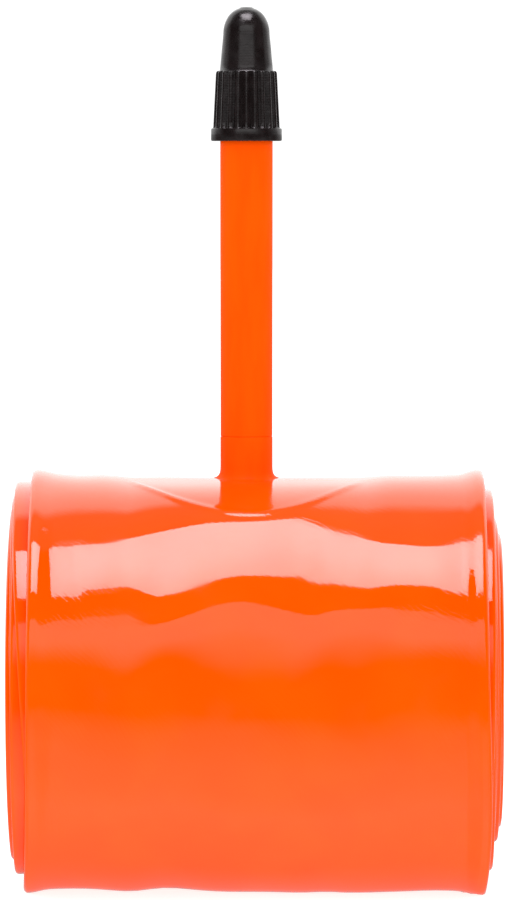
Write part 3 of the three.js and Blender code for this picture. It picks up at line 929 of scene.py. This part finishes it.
def bumped(tree, shader, *layers):
    """Stacks bumps, each given as (height value, depth in micrometres)."""
    below = {}
    for height, depth in layers:
        inputs = {"Height": height, "Strength": 1.0, "Distance": depth * 1e-6}
        below = {"Normal": added(tree, "Bump", inputs | below).outputs["Normal"]}
    tree.links.new(below["Normal"], shader.inputs["Normal"])


# %% [markdown]
# ## Orange film and orange moulding
# The film is a clear, saturated orange plastic with a hard gloss. Its faint orange peel is about a
# millimetre across, and in patches the film has tiny crinkles from being folded, finer than a grain of
# sand. Where it was handled, the gloss is a little duller. The stem is moulded from a harder grade of the
# same orange, and is nearly matt, with faint flow lines along it.


# %% Film and moulding
def orange_film():
    """Hard gloss with peel and crinkles."""
    material, tree, shader, place = finish("orange_film", 0.05)
    blotches = ranged(tree, noise(tree, place, 9), 0.35, 0.7, 0, 1)
    coloured(tree, shader, blotches, (1.0, 0.088, 0.0), (1.0, 0.097, 0.0004))
    roughened(tree, shader, noise(tree, place, 6, 5), 0.5, 0.75, 0.035, 0.095)
    peel = noise(tree, place, 1.3, 2)
    patches = ranged(tree, noise(tree, place, 14, 1), 0.44, 0.62, 0.12, 1)
    folds = banded(tree, place, "DIAGONAL", 700, 11.0)
    folds.inputs["Detail Scale"].default_value = 0.35
    creases = ranged(tree, folds.outputs["Fac"], 0.6, 1.0, 0, 1)
    crinkle = calculated(tree, "MULTIPLY", creases, patches)
    bumped(tree, shader, (peel, 3.2), (crinkle, 2.4))
    return material


def orange_moulding():
    """Nearly matt, with flow lines along the stem."""
    material, tree, shader, place = finish("orange_moulding", 0.38, specular=0.015)
    flow = ranged(tree, noise(tree, stretched(tree, place, (1, 1, 0.2)), 1.6, 3), 0.3, 0.75, 0, 1)
    coloured(tree, shader, flow, (1.0, 0.084, 0.0), (1.0, 0.096, 0.0002))
    roughened(tree, shader, noise(tree, place, 2.5, 4), 0.35, 0.7, 0.3, 0.44)
    bumped(tree, shader, (noise(tree, place, 0.5, 3), 2.5))
    return material


# %% [markdown]
# ## Black plastic
# The cap is a cheap, fine-grained black moulding with a low gloss, a slightly greyer bloom in places and a
# few knocks. Faint rings round it come from the turned mould.


# %% Cap
def black_plastic():
    """Low gloss with fine grain, knocks and mould rings."""
    material, tree, shader, place = finish("black_plastic", 0.22, specular=0.5)
    bloom = ranged(tree, noise(tree, place, 1.4, 5), 0.38, 0.72, 0, 1)
    coloured(tree, shader, bloom, (0.0075, 0.0045, 0.0045), (0.0140, 0.0095, 0.0098))
    roughened(tree, shader, noise(tree, place, 0.9, 4), 0.35, 0.7, 0.19, 0.32)
    grain = noise(tree, place, 0.14, 2)
    knocks = ranged(tree, noise(tree, place, 0.8, 2), 0.3, 0.42, 0, 1)
    rings = banded(tree, place, "Z", 1000, 1.5)
    bumped(tree, shader, (grain, 6), (knocks, 5), (rings.outputs["Fac"], 1.6))
    return material


# %% [markdown]
# ## Metals, gasket and seal
# Turned metal keeps the marks of the tool: fine rings round the axis. They are noise squeezed very flat
# along the axis. Brass and nickel plate differ in colour and in how smooth the plating has made them.


# %% Metals, gasket and seal
def turned_metal(name, colour_low, colour_high, dull, bright):
    """Bare or plated metal with the rings that turning leaves. dull and bright are roughnesses."""
    material, tree, shader, place = finish(name, bright, metallic=1.0)
    stain = ranged(tree, noise(tree, place, 1.1, 5), 0.4, 0.72, 0, 1)
    coloured(tree, shader, stain, colour_low, colour_high)
    rings = noise(tree, stretched(tree, place, (0.02, 0.02, 1.0)), 0.09, 3)
    roughened(tree, shader, rings, 0.3, 0.7, bright, dull)
    bumped(tree, shader, (rings, 2.5), (noise(tree, place, 0.3, 3), 1.5))
    return material


def soft_ring(name, roughness, specular, blotch, colours, rubbed, grain, depth):
    """Waxy plastic or dusty rubber. blotch and grain are the sizes of two noises, in millimetres."""
    material, tree, shader, place = finish(name, roughness, specular=specular)
    coloured(tree, shader, ranged(tree, noise(tree, place, blotch, 4), 0.35, 0.7, 0, 1), *colours)
    roughened(tree, shader, noise(tree, place, 0.5, 3), 0.3, 0.7, *rubbed)
    bumped(tree, shader, (noise(tree, place, grain, 3), depth))
    return material


moulding = orange_moulding()
nickel = turned_metal("nickel_plate", (0.56, 0.53, 0.47), (0.68, 0.65, 0.59), 0.34, 0.2)
brass = turned_metal("brass", (0.66, 0.45, 0.17), (0.80, 0.60, 0.28), 0.38, 0.24)
whites, blacks = ((0.80, 0.78, 0.73), (0.86, 0.85, 0.81)), ((0.012, 0.012, 0.012), (0.026, 0.025, 0.024))
white = soft_ring("white_plastic", 0.5, 0.4, 0.7, whites, (0.42, 0.6), 0.12, 4)
rubber = soft_ring("black_rubber", 0.75, 0.3, 0.6, blacks, (0.62, 0.85), 0.09, 6)
worn = {tube: orange_film(), valve_foot: moulding, stem: moulding, bush: brass, core: nickel,
        plunger: nickel, nut: nickel, gasket: white, seal: rubber, cap: black_plastic()}
for piece, material in worn.items():
    piece.data.materials.append(material)
    print(piece.name, "wears", material.name)

# %% [markdown]
# ## Light
# The room is white and even for everything matt. What a gloss surface mirrors is laid out like a small
# studio: a large soft box above and a little in front, a weaker fill card in front, a dark room round both,
# a bright wall at the back and a dim table below. The world's colour for glossy rays follows the bearing
# round the roll's length, and a second ramp dims it towards the roll's two ends.

# %% World
LIGHT_LEVEL = 1.13  # even light on matt surfaces
MIRROR_LEVEL = 3.0  # what full white on the ramps stands for in a mirror
# Pairs of (degrees round from straight ahead, over the top, brightness).
SKY = [(-180, 0.2), (-147, 0.12), (-113, 0.14), (-90, 0.23), (-72, 0.30), (-56, 0.25), (-41, 0.225),
       (-24, 0.14), (-14, 0.0), (87, 0.0), (90, 0.09), (113, 0.10), (120, 0.58), (140, 0.66), (160, 0.62),
       (180, 0.4)]
# Pairs of (how far a direction leans towards an end, from 0 to 1, share of that brightness).
ENDS = [(0.0, 1.0), (0.2, 1.0), (0.35, 0.75), (0.8, 0.75), (0.9, 0.25), (1.0, 0.25)]


def ramped(tree, value, points):
    """A grey that follows a value from 0 to 1 through (place, brightness) points."""
    node = tree.nodes.new("ShaderNodeValToRGB")
    stops = node.color_ramp.elements
    while len(stops) < len(points):
        stops.new(0.5)
    for stop, (place, light) in zip(stops, points):
        stop.position = place
        stop.color = (light, light, light, 1)
    tree.links.new(value, node.inputs[0])
    return node.outputs["Color"]


world = bpy.data.worlds.new("studio")
bpy.context.scene.world = world
world.use_nodes = True
room = world.node_tree
room.nodes.clear()
direction = parted(room, room.nodes.new("ShaderNodeTexCoord").outputs["Generated"])
ahead = calculated(room, "MULTIPLY", direction["Y"], -1.0)
bearing = calculated(room, "ARCTAN2", direction["Z"], ahead)
share_round = calculated(room, "ADD", calculated(room, "MULTIPLY", bearing, 1 / (2 * math.pi)), 0.5)
round_light = ramped(room, share_round, [(angle / 360 + 0.5, light) for angle, light in SKY])
end_light = ramped(room, calculated(room, "ABSOLUTE", direction["X"]), ENDS)
even = added(room, "Background", {"Strength": LIGHT_LEVEL, "Color": (1, 1, 1, 1)})
studio_light = calculated(room, "MULTIPLY", round_light, end_light)
mirrored = added(room, "Background", {"Strength": MIRROR_LEVEL, "Color": studio_light})
in_mirror = room.nodes.new("ShaderNodeLightPath").outputs["Is Glossy Ray"]
chosen = added(room, "MixShader", {0: in_mirror, 1: even.outputs[0], 2: mirrored.outputs[0]})
added(room, "OutputWorld", {"Surface": chosen.outputs[0]})
print("even light", LIGHT_LEVEL, "and full white in a mirror", MIRROR_LEVEL)

# %% [markdown]
# ## Soft box and floor
# The soft box is a glowing card that only mirrors see, brighter in its middle and faintly pleated like a
# cloth front. The fill is another, which stands upright in front, sharp along its top and fading out
# towards its foot. An area light could do the same, but it would have to be even. The floor is a pale table
# that glows a little from within, like a light table, so it stays white right up to the roll.

# %% Soft box, fill and floor
BOX_HALF, BOX_NEAR, BOX_FAR, BOX_HEIGHT = 0.2, -0.365, -0.03, 0.59
BOX_MIDDLE = (0, -0.16, BOX_HEIGHT)
BOX_LEVELS, BOX_FADE = (10.1, 7.4), (0.03, 0.26)  # brightness near the middle and far from it, in metres
PLEATS, PLEAT_DEPTH = 290, 0.05  # radians of pleat in a metre, and their share of the brightness
FILL_HALF, FILL_DISTANCE, FILL_LEVEL = 0.19, -0.27, 1.25
FILL_FOOT, FILL_FADE, FILL_TOP = 0.085, 0.19, 0.272
FLOOR_HALF, FLOOR_GLOW, FLOOR_COLOUR = 4.0, 0.85, 0.5


def card(name, x_half, near, far, height):
    """A flat level card, near and far being its edges along Y, in metres."""
    bpy.ops.object.select_all(action="DESELECT")
    bpy.ops.mesh.primitive_plane_add(size=1)
    piece = bpy.context.object
    piece.name = name
    corners = [(-x_half, near), (x_half, near), (-x_half, far), (x_half, far)]
    for vertex, (x, y) in zip(piece.data.vertices, corners):
        vertex.co = (x, y, height)
    return piece


def glow(piece, colour, strength, base=0.0):
    """Lets a card glow, and gives back what is needed to link a pattern in."""
    material, tree, shader, place = finish(piece.name, 0.8, specular=0.0)
    shader.inputs["Base Color"].default_value = (base, base, base, 1)
    shader.inputs["Emission Color"].default_value = (*colour, 1)
    shader.inputs["Emission Strength"].default_value = strength
    piece.data.materials.append(material)
    return tree, shader, place


def mirrors_only(piece):
    """Hides a card from everything but glossy reflections."""
    piece.visible_camera = piece.visible_diffuse = piece.visible_shadow = piece.visible_transmission = False


soft_box = card("soft_box", BOX_HALF, BOX_NEAR, BOX_FAR, BOX_HEIGHT)
tree, shader, place = glow(soft_box, (1, 0.925, 0.985), BOX_LEVELS[0])
from_middle = added(tree, "VectorMath", {0: place, 1: BOX_MIDDLE})
from_middle.operation = "DISTANCE"
brightness = ranged(tree, from_middle.outputs["Value"], *BOX_FADE, *BOX_LEVELS)
waves = calculated(tree, "SINE", calculated(tree, "MULTIPLY", parted(tree, place)["Y"], PLEATS))
pleats = ranged(tree, waves, -1, 1, 1 - PLEAT_DEPTH, 1 + PLEAT_DEPTH)
tree.links.new(calculated(tree, "MULTIPLY", brightness, pleats), shader.inputs["Emission Strength"])
mirrors_only(soft_box)

fill = card("fill_card", FILL_HALF, 0, 1, 0)
for vertex in fill.data.vertices:
    vertex.co = (vertex.co.x, FILL_DISTANCE, FILL_TOP if vertex.co.y > 0.5 else FILL_FOOT)
tree, shader, place = glow(fill, (1, 1, 1), FILL_LEVEL)
fading = ranged(tree, parted(tree, place)["Z"], FILL_FOOT, FILL_FADE, 0, FILL_LEVEL)
tree.links.new(fading, shader.inputs["Emission Strength"])
mirrors_only(fill)

floor = card("floor", FLOOR_HALF, -FLOOR_HALF, FLOOR_HALF, 0.0)
glow(floor, (1, 1, 1), FLOOR_GLOW, FLOOR_COLOUR)
floor.visible_glossy = False
bpy.context.scene.view_settings.view_transform = "Standard"
print("lit by", soft_box.name, "and", fill.name, "over the", floor.name)
